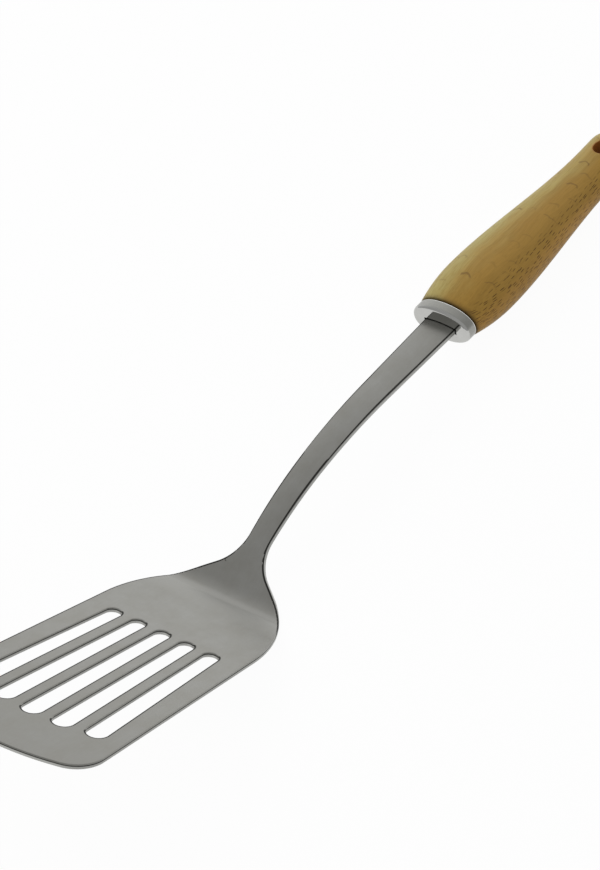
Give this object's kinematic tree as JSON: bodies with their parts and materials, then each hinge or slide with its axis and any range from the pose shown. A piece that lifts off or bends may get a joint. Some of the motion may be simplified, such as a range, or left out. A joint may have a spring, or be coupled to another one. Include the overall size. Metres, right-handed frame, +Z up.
{
  "type": "pancake spatula",
  "caption": "Slotted pancake turner: bent stainless blade and shank in one stamping, polished oval ferrule, shaped beech handle with a hanging hole.",
  "frame": {"origin": "middle of the box around the spatula, on the table that its heel and the end of its handle touch", "axes": "+X from the handle to the blade's front edge, +Y across the blade, +Z up from the table"},
  "size_m": [0.3778, 0.0766, 0.0534],
  "materials": {
    "satin_stainless": "satin",
    "polished_stainless": "polished",
    "waxed_beech": "waxed satin",
    "cured_adhesive": "matte"
  },
  "bodies": {
    "root": {"turner_sheet": "satin_stainless", "ferrule": "polished_stainless", "handle": "waxed_beech", "tang_adhesive": "cured_adhesive"}
  },
  "joints": []
}
